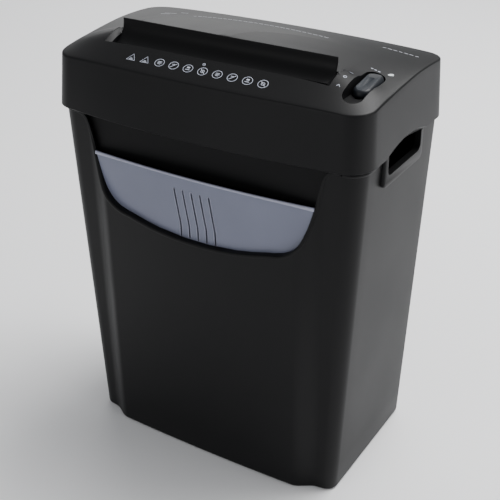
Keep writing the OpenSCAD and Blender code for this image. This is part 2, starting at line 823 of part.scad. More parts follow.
// An oval button with a thumb hollow, standing on a stem that works the switch
module slide_knob() {
    color("#2b3036") union() {
        difference() {
            translate([switch_x, knob_y, knob_base]) hull() {
                linear_extrude(4) stadium(knob_half, knob_w, $fn = 32);
                linear_extrude(knob_top - knob_base) stadium(knob_half - 3, knob_w - 5, $fn = 32);
            }
            translate([switch_x, knob_y - 6, knob_top + 36]) sphere(r = 37.6, $fn = 96);
        }
        translate([switch_x - 2, knob_y - 3, 398]) cube([4, 6, knob_base - 397.9]);
    }
}

module slide_switch() {
    color("#3d4147") difference() {
        union() {
            translate([switch_x - 7, switch_y - 18, 388]) cube([14, 36, pocket_floor - liner_t - 388]);
            translate([switch_x + 3, switch_y + 17, 394.6]) cube([10, 22, 2.4]);
        }
        translate([switch_x - 2.3, switch_y - 15, 394]) cube([4.6, 30, 20]);
    }
}

module power_lens() {
    z0 = crown(power_place[0], power_place[1]) - 5;
    color("#e6ecec") translate([power_place[0], power_place[1], z0]) cylinder(h = 5.2, r = 2.55);
}

module power_led() {
    color("#d9534f") translate([power_place[0], power_place[1], 397]) union() {
        cylinder(h = 4, r = 1.5);
        translate([0, 0, 4]) sphere(r = 1.5);
        cylinder(h = 0.8, r = 1.9);
    }
}

// The board hangs over the motor's free end, from four bosses of the cover
module control_board() {
    color("#2f5d3a") difference() {
        translate([20, 8, board_z + 12]) cube([80, 52, board_t]);
        for (p = board_hole_places()) translate([p[0], p[1], board_z + 11]) cylinder(h = 4, r = 1.6);
    }
}

module board_capacitor() {
    color("#8c2f2a") translate([36, 24, board_z + 5]) rotate([0, 90, 0]) cylinder(h = 16, r = 5);
}

module board_relay() {
    color("#2b4a7a") translate([62, 39, board_z + 1]) cube([19, 15, 11]);
}

module board_terminals() {
    color("#3f7d4f") for (i = [0 : 3]) difference() {
        translate([64 + 8 * i, terminal_y - 4, board_z + 3]) cube([7.8, 8, 9]);
        translate([67.9 + 8 * i, terminal_y, board_z + 2]) cylinder(h = 6, r = 1.5);
    }
}

// ---------- sensors ----------
sensor_axis = [-32, 399];
sensor_tip = -49;

// A flap that hangs in the slot and swings back as the paper goes in
module sensor_lever() {
    color("#e9e6da") difference() {
        union() {
            bar_x(sensor_axis, -3, 6, 3);
            along_x(-1.5, 3) polygon([
                [-31, 397.6], [-32, 401.6], [-42, 398.8], [sensor_tip, 395], [sensor_tip + 0.8, 393.6], [-40, 395.6]
            ]);
        }
        bar_x(sensor_axis, -4, 8, 1.5 + running_gap);
    }
}

module sensor_switch() {
    color("#3a3a3d") union() {
        translate([-6, sensor_axis[0] + 4, 388]) cube([12, 12, 8]);
        translate([-6, sensor_axis[0] + 13, 388]) cube([12, 3, hood_z - 4.5 - 388]);
        for (s = [-1, 1]) translate([s * 5 - 1, sensor_axis[0] - 2, 394]) cube([2, 6.5, 9]);
        bar_x(sensor_axis, -6, 12, 1.5);
    }
}

interlock_x = -70;
interlock_y = 69.5;

module interlock_plunger() {
    color("#d8d4c4") translate([interlock_x, interlock_y, 325.5]) union() {
        cylinder(h = 14, r = 2.5);
        translate([0, 0, 4.6]) cylinder(h = 2, r = 4);
    }
}

module interlock_switch() {
    color("#3a3a3d") difference() {
        translate([interlock_x - 10, interlock_y - 5, 333]) cube([20, 8, 12]);
        translate([interlock_x, interlock_y, 332]) cylinder(h = 9, r = 2.6);
    }
}

// ---------- fittings ----------
module cable_gland() {
    back = head_back - 3 + 3 * (1 - pow(gland_x / head_hw, 2));
    color("#141414") translate([gland_x, back, gland_z]) rotate([-90, 0, 0]) difference() {
        union() {
            translate([0, 0, -5]) cylinder(h = 5, r = 6.95);
            translate([0, 0, -5]) cylinder(h = 1.6, r = 9);
            cylinder(h = 0.6, r = 9);
        }
        translate([0, 0, -6]) cylinder(h = 8, r = 3.6);
    }
}

// A screw whose head's seat is at z
module cover_screw(place, z, length) {
    translate([place[0], place[1], z - 1.8]) union() {
        cylinder(h = length, r = 1.35);
        cylinder(h = 1.8, r = 3);
    }
}

module cover_screws() {
    color("#c4c7cc") {
        for (p = cover_boss_places()) cover_screw(p, head_z, 22);
        for (p = board_hole_places()) cover_screw(p, board_z + 12, 15);
    }
}

// Two flat leads from the motor's brushes, each turning up into one of the board's terminals
module motor_leads() {
    w = 2;
    x0 = motor_left + motor_length - 1;
    rise = board_z + 7;
    color("#b23a30") for (s = [-1, 1]) {
        z = motor_axis[1] + 18 * s;
        run = s > 0 ? z : 378;
        turn = s > 0 ? 0 : 30;
        end = 67.9 + (s > 0 ? 0 : 8);
        along_y(terminal_y - 0.8, 1.6) polygon([
            [x0, z - w / 2], [20, z - w / 2], [20 + turn, run - w / 2], [end - 2, run - w / 2],
            [end + w / 2, run + 2], [end + w / 2, rise], [end - w / 2, rise], [end - w / 2, run + 3],
            [end - 3, run + w / 2], [19 + turn, run + w / 2], [19, z + w / 2], [x0, z + w / 2]
        ]);
    }
}

waste_bin();
bin_window();
top_cover();
feed_hood();
feed_chute();
lower_housing();
frame_plate_left();
frame_plate_right();
frame_rods();
frame_nuts();
shaft_bushings();
stripper_comb_front();
stripper_comb_rear();
front_shaft();
front_cutters();
front_spacers();
front_sync_gear();
front_clips();
rear_shaft();
rear_cutters();
rear_spacers();
rear_sync_gear();
rear_drive_gear();
rear_clips();
gear_posts();
idler_gear_a();
idler_gear_b();
gear_cover();
motor_can();
motor_end_cap();
motor_rotor();
motor_pinion();
motor_screws();
slide_knob();
slide_switch();
power_lens();
power_led();
control_board();
board_capacitor();
board_relay();
board_terminals();
sensor_lever();
sensor_switch();
interlock_plunger();
interlock_switch();
cable_gland();
cover_screws();
motor_leads();
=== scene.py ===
import json
import math

import bmesh
import bpy
import numpy as np
from mathutils import Matrix, Vector


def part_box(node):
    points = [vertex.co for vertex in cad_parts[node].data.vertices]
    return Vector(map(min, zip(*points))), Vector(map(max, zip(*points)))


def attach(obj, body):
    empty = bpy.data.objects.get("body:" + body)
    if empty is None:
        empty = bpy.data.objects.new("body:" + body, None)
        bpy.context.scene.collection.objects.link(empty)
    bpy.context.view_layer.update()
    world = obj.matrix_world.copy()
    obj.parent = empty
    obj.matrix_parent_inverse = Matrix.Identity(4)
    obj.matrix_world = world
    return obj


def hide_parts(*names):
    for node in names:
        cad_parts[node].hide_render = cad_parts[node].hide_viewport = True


# ---------- frame and camera ----------
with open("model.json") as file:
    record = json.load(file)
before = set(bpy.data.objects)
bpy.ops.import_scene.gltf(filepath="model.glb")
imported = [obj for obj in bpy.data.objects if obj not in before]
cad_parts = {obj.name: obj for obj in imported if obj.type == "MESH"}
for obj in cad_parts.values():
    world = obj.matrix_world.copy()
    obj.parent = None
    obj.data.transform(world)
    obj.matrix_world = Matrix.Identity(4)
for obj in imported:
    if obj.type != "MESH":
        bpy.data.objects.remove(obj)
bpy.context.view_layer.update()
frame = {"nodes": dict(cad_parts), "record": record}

MM = 0.001


def look_at(name, place, target, lens, roll):
    data = bpy.data.cameras.new(name)
    data.lens = lens
    data.sensor_width = 36
    data.clip_start = 0.05
    data.clip_end = 60
    camera = bpy.data.objects.new(name, data)
    bpy.context.scene.collection.objects.link(camera)
    forward = (Vector(target) - Vector(place)).normalized()
    right = forward.cross(Vector((0, 0, 1))).normalized()
    up = right.cross(forward)
    turn = math.radians(roll)
    level_right = right * math.cos(turn) - up * math.sin(turn)
    level_up = right * math.sin(turn) + up * math.cos(turn)
    basis = Matrix((level_right, level_up, -forward)).transposed().to_4x4()
    camera.matrix_world = Matrix.Translation(Vector(place)) @ basis
    bpy.context.scene.camera = camera
    return camera


look_at("camera", (0.4781, -0.7548, 0.7064), (-0.0062, 0.0165, 0.1895), 73.04, 0.7)


# ---------- materials ----------
grain_depth = 0.00012
drawn_depth = 0.0001


def nodes_of(material):
    material.use_nodes = True
    tree = material.node_tree
    shader = next(n for n in tree.nodes if n.type == "BSDF_PRINCIPLED")
    return tree, shader


def link(tree, a, output, b, socket):
    tree.links.new(a.outputs[output], b.inputs[socket])


def grain(tree, shader, scale, strength, roughness, spread):
    """A fine moulded texture: bumps, and a roughness that drifts a little."""
    coords = tree.nodes.new("ShaderNodeTexCoord")
    fine = tree.nodes.new("ShaderNodeTexNoise")
    fine.inputs["Scale"].default_value = scale
    fine.inputs["Detail"].default_value = 5
    broad = tree.nodes.new("ShaderNodeTexNoise")
    broad.inputs["Scale"].default_value = 14
    broad.inputs["Detail"].default_value = 3
    link(tree, coords, "Object", fine, "Vector")
    link(tree, coords, "Object", broad, "Vector")
    bump = tree.nodes.new("ShaderNodeBump")
    bump.inputs["Strength"].default_value = strength
    bump.inputs["Distance"].default_value = grain_depth
    link(tree, fine, "Fac", bump, "Height")
    link(tree, bump, "Normal", shader, "Normal")
    spread_map = tree.nodes.new("ShaderNodeMapRange")
    spread_map.inputs["To Min"].default_value = roughness - spread
    spread_map.inputs["To Max"].default_value = roughness + spread
    link(tree, broad, "Fac", spread_map, "Value")
    link(tree, spread_map, "Result", shader, "Roughness")
    return broad


def plastic(name, color, roughness=0.42, scale=1500, strength=0.25, spread=0.04, specular=0.5):
    """Moulded plastic: a fine grain, and a colour that drifts a little."""
    material = bpy.data.materials.new(name)
    tree, shader = nodes_of(material)
    shader.inputs["Metallic"].default_value = 0
    shader.inputs["Specular IOR Level"].default_value = specular
    broad = grain(tree, shader, scale, strength, roughness, spread)
    ramp = tree.nodes.new("ShaderNodeValToRGB")
    ramp.color_ramp.elements[0].position = 0.3
    ramp.color_ramp.elements[1].position = 0.7
    ramp.color_ramp.elements[0].color = (*[c * 0.93 for c in color], 1)
    ramp.color_ramp.elements[1].color = (*[c * 1.07 for c in color], 1)
    link(tree, broad, "Fac", ramp, "Fac")
    link(tree, ramp, "Color", shader, "Base Color")
    return material


def metal(name, color, roughness=0.32, along=(1, 1, 30), strength=0.12):
    """Machined or plated metal with drawn marks that run along one axis."""
    material = bpy.data.materials.new(name)
    tree, shader = nodes_of(material)
    shader.inputs["Metallic"].default_value = 1
    coords = tree.nodes.new("ShaderNodeTexCoord")
    stretch = tree.nodes.new("ShaderNodeMapping")
    stretch.inputs["Scale"].default_value = along
    marks = tree.nodes.new("ShaderNodeTexNoise")
    marks.inputs["Scale"].default_value = 120
    marks.inputs["Detail"].default_value = 4
    link(tree, coords, "Object", stretch, "Vector")
    link(tree, stretch, "Vector", marks, "Vector")
    ramp = tree.nodes.new("ShaderNodeValToRGB")
    ramp.color_ramp.elements[0].color = (*[c * 0.82 for c in color], 1)
    ramp.color_ramp.elements[1].color = (*[min(1, c * 1.1) for c in color], 1)
    link(tree, marks, "Fac", ramp, "Fac")
    link(tree, ramp, "Color", shader, "Base Color")
    rough = tree.nodes.new("ShaderNodeMapRange")
    rough.inputs["To Min"].default_value = roughness - 0.08
    rough.inputs["To Max"].default_value = roughness + 0.1
    link(tree, marks, "Fac", rough, "Value")
    link(tree, rough, "Result", shader, "Roughness")
    bump = tree.nodes.new("ShaderNodeBump")
    bump.inputs["Strength"].default_value = strength
    bump.inputs["Distance"].default_value = drawn_depth
    link(tree, marks, "Fac", bump, "Height")
    link(tree, bump, "Normal", shader, "Normal")
    return material


LOOKS = {
    "bin_plastic": plastic("bin_plastic", (0.0044, 0.0044, 0.0047), 0.45, specular=0.16),
    "window_plastic": plastic(
        "window_plastic", (0.16, 0.172, 0.236), 0.33, 900, 0.08, spread=0.03, specular=0.4),
    "cover_plastic": plastic("cover_plastic", (0.0046, 0.0046, 0.005), 0.44, specular=0.2),
    "hood_plastic": plastic(
        "hood_plastic", (0.0042, 0.0042, 0.0046), 0.42, 1100, 0.12, specular=0.14),
    "housing_plastic": plastic("housing_plastic", (0.0036, 0.0036, 0.0039), 0.5, specular=0.12),
    "chute_plastic": plastic("chute_plastic", (0.02, 0.02, 0.022), 0.4),
    "plate_steel": metal("plate_steel", (0.58, 0.59, 0.6), 0.34, (1, 25, 1)),
    "rod_steel": metal("rod_steel", (0.62, 0.63, 0.65), 0.26, (25, 1, 1)),
    "bushing_brass": metal("bushing_brass", (0.62, 0.45, 0.24), 0.36, (8, 8, 8)),
    "comb_plastic": plastic("comb_plastic", (0.035, 0.037, 0.04), 0.44),
    "cutter_steel": metal("cutter_steel", (0.36, 0.37, 0.39), 0.3, (1, 18, 18)),
    "spacer_steel": metal("spacer_steel", (0.5, 0.51, 0.53), 0.34, (20, 1, 1)),
    "gear_steel": metal("gear_steel", (0.42, 0.43, 0.45), 0.4, (6, 6, 6)),
    "gear_acetal": plastic("gear_acetal", (0.66, 0.62, 0.52), 0.36, 700, 0.1),
    "clip_steel": metal("clip_steel", (0.66, 0.67, 0.69), 0.24, (12, 12, 12)),
    "motor_steel": metal("motor_steel", (0.52, 0.53, 0.55), 0.33, (30, 1, 1)),
    "motor_plastic": plastic("motor_plastic", (0.03, 0.032, 0.036), 0.45),
    "rotor_iron": metal("rotor_iron", (0.3, 0.24, 0.18), 0.5, (60, 1, 1), 0.3),
    "pinion_brass": metal("pinion_brass", (0.7, 0.52, 0.22), 0.3, (8, 8, 8)),
    "knob_plastic": plastic(
        "knob_plastic", (0.0095, 0.0115, 0.015), 0.42, 1100, 0.12, specular=0.25),
    "switch_plastic": plastic("switch_plastic", (0.03, 0.032, 0.038), 0.45),
    "lens_plastic": plastic("lens_plastic", (0.62, 0.66, 0.66), 0.24, 800, 0.05),
    "led_resin": plastic("led_resin", (0.5, 0.08, 0.07), 0.15, 600, 0.03),
    "board_laminate": plastic("board_laminate", (0.02, 0.11, 0.045), 0.33, 500, 0.2),
    "capacitor_film": plastic("capacitor_film", (0.24, 0.03, 0.025), 0.22, 300, 0.1),
    "relay_plastic": plastic("relay_plastic", (0.02, 0.06, 0.2), 0.36),
    "terminal_plastic": plastic("terminal_plastic", (0.03, 0.2, 0.07), 0.4),
    "gland_rubber": plastic("gland_rubber", (0.01, 0.01, 0.01), 0.6, 1300, 0.3),
    "lead_plastic": plastic("lead_plastic", (0.36, 0.03, 0.025), 0.38),
}
# Painted highlight: a lighter copy of the window plastic, standing in for the light caught by the
# up-facing lip and slot rims.
painted_highlight_look = plastic("window_edge_painted_highlight", (0.33, 0.34, 0.43), 0.35, 900, 0.08)
print_ink = plastic("print_ink", (0.5, 0.53, 0.62), 0.5, 1200, 0.1)
print_grey = plastic("print_grey", (0.42, 0.43, 0.47), 0.5, 1200, 0.1)
dish_look = plastic("knob_dish", (0.018, 0.022, 0.028), 0.45, 1100, 0.12, specular=0.16)


def wear(obj, slot):
    obj.data.materials.clear()
    obj.data.materials.append(LOOKS[slot])


slots = {s["node"]: s["material_slot"] for s in frame["record"]["subparts"]}
for node, obj in frame["nodes"].items():
    wear(obj, slots[node])


# ---------- meshes ----------
def add_mesh(name, points, faces):
    mesh = bpy.data.meshes.new(name)
    mesh.from_pydata([tuple(MM * c for c in p) for p in points], [], faces)
    obj = bpy.data.objects.new(name, mesh)
    bpy.context.scene.collection.objects.link(obj)
    return obj


def outward(obj):
    """Faces turned outwards, with coincident corners joined."""
    work = bmesh.new()
    work.from_mesh(obj.data)
    bmesh.ops.remove_doubles(work, verts=work.verts, dist=1e-7)
    bmesh.ops.recalc_face_normals(work, faces=work.faces)
    work.to_mesh(obj.data)
    work.free()


def soften(obj, angle=32):
    """Smooth shading that keeps every edge sharper than the angle."""
    work = bmesh.new()
    work.from_mesh(obj.data)
    limit = math.radians(angle)
    for face in work.faces:
        face.smooth = True
    for edge in work.edges:
        edge.smooth = len(edge.link_faces) == 2 and edge.calc_face_angle(0) < limit
    work.to_mesh(obj.data)
    work.free()


def finish_piece(obj, slot, body, replaced=(), angle=32):
    outward(obj)
    soften(obj, angle)
    wear(obj, slot)
    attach(obj, body)
    if replaced:
        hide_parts(*replaced)
    return obj


def tube(rings):
    """Points and faces through rings of equal length, closed at both ends."""
    n, count = len(rings[0]), len(rings)
    points = [p for ring in rings for p in ring]
    faces = []
    for k in range(count - 1):
        a, b = k * n, (k + 1) * n
        faces += [(a + i, a + (i + 1) % n, b + (i + 1) % n, b + i) for i in range(n)]
    faces += [tuple(range(n))[::-1], tuple((count - 1) * n + i for i in range(n))]
    return points, faces


def solid(rings, name="cutter"):
    obj = add_mesh(name, *tube(rings))
    outward(obj)
    return obj


def prism(outline, axis, start, end):
    """An outline drawn in the two other axes, extruded along X, Y or Z."""
    def place(u, v, w):
        return {"X": (w, u, v), "Y": (u, w, v), "Z": (u, v, w)}[axis]
    return solid([[place(u, v, w) for u, v in outline] for w in (start, end)])


def combine(obj, tools, operation="DIFFERENCE"):
    """A boolean with each tool in turn. The tools are used up."""
    for tool in tools:
        modifier = obj.modifiers.new("combine", "BOOLEAN")
        modifier.operation = operation
        modifier.solver = "EXACT"
        modifier.object = tool
        evaluated = obj.evaluated_get(bpy.context.evaluated_depsgraph_get())
        mesh = bpy.data.meshes.new_from_object(evaluated)
        obj.modifiers.clear()
        old, obj.data = obj.data, mesh
        bpy.data.meshes.remove(old)
        bpy.data.objects.remove(tool)
    return obj


def join(name, objects):
    work = bmesh.new()
    for obj in objects:
        work.from_mesh(obj.data)
        old = obj.data
        bpy.data.objects.remove(obj)
        bpy.data.meshes.remove(old)
    mesh = bpy.data.meshes.new(name)
    work.to_mesh(mesh)
    work.free()
    joined = bpy.data.objects.new(name, mesh)
    bpy.context.scene.collection.objects.link(joined)
    return joined


def arc(cx, cy, r, start, end, steps):
    return [
        (cx + r * math.cos(math.radians(start + (end - start) * i / steps)),
         cy + r * math.sin(math.radians(start + (end - start) * i / steps)))
        for i in range(steps + 1)
    ]


def mirrored(half):
    """The right half of an outline, followed by its mirror image."""
    return half + [(-x, y) for x, y in reversed(half) if abs(x) > 1e-6]


def mix(a, b, t):
    return a + (b - a) * t


def smooth_step(t):
    t = min(1, max(0, t))
    return t * t * (3 - 2 * t)


def stadium(cx, cy, half, width, steps=16):
    """A slot's outline along Y, with round ends."""
    r, reach = width / 2, half - width / 2
    return arc(cx, cy + reach, r, 0, 180, steps) + arc(cx, cy - reach, r, 180, 360, steps)


# ---------- the head's form, in millimetres ----------
# Heights of the crown where its sides and its middle are at their highest, and Y of those places.
side_top, side_top_y = 409.3, 27
middle_top, middle_y = 430.5, -31
crown_hw = 162


def side_height(y):
    """Height of the crown along the head's sides."""
    if y < side_top_y:
        return side_top - 8.8 * ((side_top_y - y) / 100) ** 1.5
    return side_top - 0.0012 * (y - side_top_y) ** 2


def middle_height(y):
    """Height of the crown along the head's middle, which falls away in front of the ridge."""
    if y < middle_y:
        return middle_top - 14.9 * ((middle_y - y) / 24) ** 0.924
    return middle_top - 0.00152 * (y - middle_y) ** 2


def crown(x, y):
    """Height of the head's top: arched across, and flatter towards the front."""
    power = 2 + 4 * smooth_step((-20 - y) / 35)
    return mix(middle_height(y), side_height(y), min(1, abs(x) / crown_hw) ** power)


head_low, head_high = [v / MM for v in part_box("top_cover")]
head_x, head_y0, head_y1, head_z0 = head_high.x, head_low.y, head_high.y, head_low.z
hood_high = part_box("feed_hood")[1] / MM
ridge_z = hood_high.z
head_corner = 22
head_taper = 3
back_bow = 3
front_steps, back_steps, side_steps = 40, 20, 14


def head_outline(t, inset):
    """Plan outline of the head at a share t of its height, drawn in by inset."""
    hw = mix(head_x, head_x - head_taper, t) - inset
    front = mix(head_y0 + 12, head_y0 + 15.4, t) + inset
    front_bow = mix(12, 3.7, t)
    back, r = head_y1 - back_bow - inset, head_corner - inset / 2
    half = []
    for i in range(front_steps + 1):
        x = (hw - r) * i / front_steps
        half.append((x, front - front_bow * (1 - (x / hw) ** 2)))
    kick = half[-1][1] - front
    corner = arc(hw - r, front + r, r, -90, 0, side_steps)[1:]
    for i, (x, y) in enumerate(corner):
        half.append((x, y + kick * (1 - (i + 1) / side_steps)))
    half += [(hw, mix(front + r, back - r, i / side_steps)) for i in range(1, side_steps)]
    half += arc(hw - r, back - r, r, 0, 90, 12)
    step_out = back_bow * (1 - ((hw - r) / hw) ** 2)
    start_x, start_y = half.pop()
    for i in range(back_steps + 1):
        x = start_x * (1 - i / back_steps)
        bulge = back_bow * ((start_x / hw) ** 2 - (x / hw) ** 2)
        half.append((x, start_y + step_out * smooth_step(i / 2) + bulge))
    return mirrored(half)


def head_solid(name, inset, drop, edge):
    """The head's closed form, drawn in by inset and drop, its top edge rounded by edge.

    The outer form has a drawn-in foot, and the inner ones reach below it.
    """
    heights = [crown(x, y) - drop for x, y in head_outline(1, inset)]
    outer = inset == 0
    foot_x, foot_y = (1 - 0.7 / 160, 1 - 0.7 / 90) if outer else (1, 1)
    base = head_z0 if outer else head_z0 - 1
    rings = [[(x * foot_x, y * foot_y, base) for x, y in head_outline(0, inset)]]
    for share in (0.014, 0.12, 0.25, 0.4, 0.55, 0.7, 0.82, 0.9):
        low = head_outline(share, inset)
        rings.append([(x, y, mix(base, z - edge, share)) for (x, y), z in zip(low, heights)])
    for k in range(7):
        a = math.radians(15 * k)
        pull, sink = edge * (1 - math.cos(a)), edge * (1 - math.sin(a))
        rings.append([(x, y, crown(x, y) - drop - sink) for x, y in head_outline(1, inset + pull)])
    rim, hub_y, steps = rings[-1], 4, 29
    for k in range(1, steps + 1):
        s = 1 - k / steps * 0.985
        ring = []
        for x, y, _ in rim:
            px, py = x * s, hub_y + (y - hub_y) * s
            ring.append((px, py, crown(px, py) - drop))
        rings.append(ring)
    return solid(rings, name)


# ---------- cover ----------
visor_hw = hood_high.x
trough_hw, trough_y, trough_floor = 117, -55, 408.5
visor_r, visor_t = 19.2, 1.8
visor_y, visor_z = -31.5 - visor_r, ridge_z - 1.6
over_head = 445
cover_wall, cover_roof, lining_t = 2.6, 2.8, 2.4


def visor_arc(r):
    """The visor's quarter round, from the slot's front up to the ridge, in Y and Z."""
    return arc(visor_y, visor_z, r, -70, 0, 20)


def trough_outline(grow):
    """The trough in front of the ridge, in Y and Z, with room for the visor."""
    outer = visor_arc(visor_r + visor_t + grow)
    front, floor_z = trough_y - grow, trough_floor - grow
    foot = [(front, over_head), (front, floor_z), (outer[0][0], floor_z)]
    return foot + outer + [(outer[-1][0], over_head)]


def roof_outline(hw, below, above):
    """A shallow gable over the ridge, in X and Z, that flattens the crown about it."""
    z = ridge_z + 0.5
    eaves = z - 0.112 * hw - below
    return [(-hw, eaves), (0, z - below), (hw, eaves), (hw, z + above), (-hw, z + above)]


knob_low, knob_high = [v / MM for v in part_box("slide_knob")]
switch_x = (knob_low.x + knob_high.x) / 2
pocket_y, pocket_half, pocket_w = -35.5, 29, 18
pocket_floor, stem_half, stem_w = 404.6, 13.5, 6
lens_low, lens_high = [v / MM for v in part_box("power_lens")]
lens_x, lens_y, lens_r = (lens_low.x + lens_high.x) / 2, (lens_low.y + lens_high.y) / 2, 2.6
feed_hw, feed_front, feed_back = 111, -54.8, -47.4
grip_y = 3
scoop_x, scoop_backing = 277, 46
board_posts = ((24, 12), (96, 12), (24, 56), (96, 56))
post_r, post_foot = 3.2, 397.6


def scoop_tool(side):
    """A hollow in the side wall that lets the fingers under the cover's edge."""
    start = 90 if side > 0 else -90
    rings = []
    for rise, r in ((-2, 121), (2, 118.6), (5, 115.6), (8.6, 112)):
        plan = arc(side * scoop_x, grip_y, r, start, start + 180, 180)
        rings.append([(x, y, head_z0 + rise) for x, y in plan])
    return solid(rings)


cover = head_solid("cover_shell", 0, 0, 1.6)
combine(cover, [head_solid("cutter", cover_wall, cover_roof, 1.5)])
linings = [
    prism(roof_outline(trough_hw + lining_t, 3, 12), "Y", -58, 34),
    prism(trough_outline(lining_t), "X", -trough_hw - lining_t, trough_hw + lining_t),
    prism(stadium(switch_x, pocket_y, pocket_half + 2, pocket_w + 4), "Z", pocket_floor - 2.4, 424),
]
for lining in linings:
    combine(lining, [head_solid("cutter", cover_wall / 2, cover_roof / 2, 2)], "INTERSECT")
    combine(cover, [lining], "UNION")
for side in (-1, 1):
    near, far = sorted((side * (head_x - 13), side * (head_x - 1)))
    front, back = grip_y - scoop_backing, grip_y + scoop_backing
    backing = [(near, front), (far, front), (far, back), (near, back)]
    combine(cover, [prism(backing, "Z", head_z0, head_z0 + 11)], "UNION")
for x, y in board_posts:
    post = arc(x, y, post_r, 0, 345, 23)
    combine(cover, [prism(post, "Z", post_foot, crown(x, y) - 1.6)], "UNION")
feed_plan = [
    (-feed_hw, feed_front), (feed_hw, feed_front), (feed_hw, feed_back), (-feed_hw, feed_back)]
combine(cover, [
    prism(roof_outline(trough_hw, 0, 9), "Y", -60, 38),
    prism(trough_outline(0), "X", -trough_hw, trough_hw),
    prism(feed_plan, "Z", 400, 412),
    prism(stadium(switch_x, pocket_y, pocket_half, pocket_w, 24), "Z", pocket_floor, 424),
    prism(stadium(switch_x, pocket_y, stem_half, stem_w), "Z", 398, 412),
    prism(arc(lens_x, lens_y, lens_r, 0, 352.5, 47), "Z", 395, 425),
    scoop_tool(1),
    scoop_tool(-1),
])


def trough_ramp(side):
    """A short slope from the crown down to the visor's end."""
    outer, inner, foot = trough_hw + 0.6, visor_hw + 0.35, trough_floor - 1
    rings = []
    for i in range(13):
        y = mix(trough_y - 0.3, visor_y + visor_r + visor_t + 2, i / 12)
        top = crown(trough_hw, y) - 0.3
        section = [
            (outer, foot), (outer, top + 0.2), (trough_hw - 0.1, top),
            (inner, top - 3.6), (inner, foot),
        ]
        rings.append([(side * x, y, z) for x, z in section])
    return solid(rings)


combine(cover, [trough_ramp(1), trough_ramp(-1)], "UNION")
finish_piece(cover, "cover_plastic", "head", ["top_cover"])


# ---------- visor over the slot ----------
def visor_ring(x, shrink):
    """The visor's section at X: a curved wall that ends in a rounded ridge."""
    front, back = visor_arc(visor_r + shrink), visor_arc(visor_r + visor_t - shrink)
    top, ridge_y = ridge_z - shrink, visor_y + visor_r
    ridge = [
        (shrink, 0.9), (0.15 + shrink, 0.45), (0.5, 0.1), (0.9, 0),
        (1.3, 0.1), (1.65 - shrink, 0.45), (visor_t - shrink, 0.9),
    ]
    section = front + [(ridge_y + y, top - z) for y, z in ridge] + back[::-1]
    section += [(back[0][0], trough_floor), (front[0][0] - 0.3, trough_floor)]
    return [(x, y, z) for y, z in section]


rounding = [(0.0, 0.55), (0.15, 0.3), (0.4, 0.1), (0.8, 0.0)]
plain_hw = visor_hw - rounding[-1][0]
stations = [(-visor_hw + a, b) for a, b in rounding]
stations += [(mix(-plain_hw, plain_hw, i / 24), 0) for i in range(1, 24)]
stations += [(visor_hw - a, b) for a, b in reversed(rounding)]
visor = add_mesh("visor", *tube([visor_ring(x, shrink) for x, shrink in stations]))
finish_piece(visor, "hood_plastic", "head", ["feed_hood"], 40)


# ---------- bin ----------
rim_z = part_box("waste_bin")[1].z / MM
cut_low, flare_z = rim_z - 102, rim_z - 12
bin_foot_hw, bin_rim_hw, bin_back, bin_wall = 142.8, 160, 89, 2.6
panel_hw, shoulder_hw = 102, 128


def front_lines(t):
    """Y of the corner column, the panel's edge and its middle at a share t of the bin's height."""
    return mix(-74.5, -77, t), mix(-86, -87, t), mix(-88, -91, t)


def shoulder(edge, column, share):
    """Y between the panel's edge and the column, as a soft S."""
    return mix(edge, column - 0.5, (1 - math.cos(math.pi * share)) / 2)


def bin_outline(z, inset):
    """The bin's plan outline at height z, drawn in by inset."""
    t = z / rim_z
    hw = mix(bin_foot_hw, bin_rim_hw, t) - inset
    column, edge, middle = [y + inset for y in front_lines(t)]
    back = bin_back - inset
    rf, rb = mix(12, 18, t) - inset / 2, mix(14, 16, t) - inset / 2
    half = [(panel_hw * i / 24, mix(middle, edge, (i / 24) ** 2)) for i in range(25)]
    half += [
        (mix(panel_hw, shoulder_hw, i / 18), shoulder(edge, column, i / 18)) for i in range(1, 19)]
    half += arc(hw - rf, column + rf, rf, -90, 0, 12)
    half += [(hw, mix(column + rf, back - rb, i / 10)) for i in range(1, 10)]
    half += arc(hw - rb, back - rb, rb, 0, 90, 12)
    half += [((hw - rb) * (1 - i / 10), back) for i in range(1, 11)]
    return mirrored(half)


def bin_solid(rings, name="cutter"):
    return solid([[(x, y, z) for x, y in bin_outline(z, inset)] for z, inset in rings], name)


def on_ellipse(cx, cz, rx, rz, degrees):
    a = math.radians(degrees)
    return cx + rx * math.cos(a), cz + rz * math.sin(a)


def cut_curve(grow):
    """Right half of the cut-out's edge in X and Z, grown outwards.

    It runs from the middle of its foot, round the corner, up the column and out in a flare
    to the rim.
    """
    foot_hw, foot_rise, corner_x, column_x = 76, 9.4, 35.36, 113.8
    half = [(foot_hw * i / 20, cut_low + foot_rise * (i / 20) ** 2.2) for i in range(21)]
    half += [
        on_ellipse(foot_hw, cut_low + foot_rise + 34, corner_x, -34, a) for a in range(78, 19, -4)]
    half += [(column_x + 2.7 * i, mix(cut_low + 43, flare_z, i / 4)) for i in range(5)]
    half += [on_ellipse(138.4, flare_z, 12.6, 10.6, a) for a in (154, 141, 128, 115, 103)]
    half += [(140.5, rim_z - 1.35), (146, rim_z - 0.9), (151, rim_z + 8)]
    last = len(half) - 1
    smooth = []
    for k, (x, z) in enumerate(half):
        (ax, az), (bx, bz) = half[max(0, k - 1)], half[min(last, k + 1)]
        if 0 < k < last:
            x, z = (ax + 2 * x + bx) / 4, (az + 2 * z + bz) / 4
        (ax, az), (bx, bz) = half[max(0, k - 2)], half[min(last, k + 2)]
        along_x, along_z = (1, 0) if k == 0 else (bx - ax, bz - az)
        length = math.hypot(along_x, along_z)
        smooth.append((x + along_z / length * grow, z - along_x / length * grow))
    return smooth


def panel_front(x, z):
    """The outer face of the bin's front at X and height z."""
    column, edge, middle = front_lines(min(1, z / rim_z))
    x = abs(x)
    if x < panel_hw:
        return mix(middle, edge, (x / panel_hw) ** 2)
    return shoulder(edge, column, min(1, (x - panel_hw) / (shoulder_hw - panel_hw)))


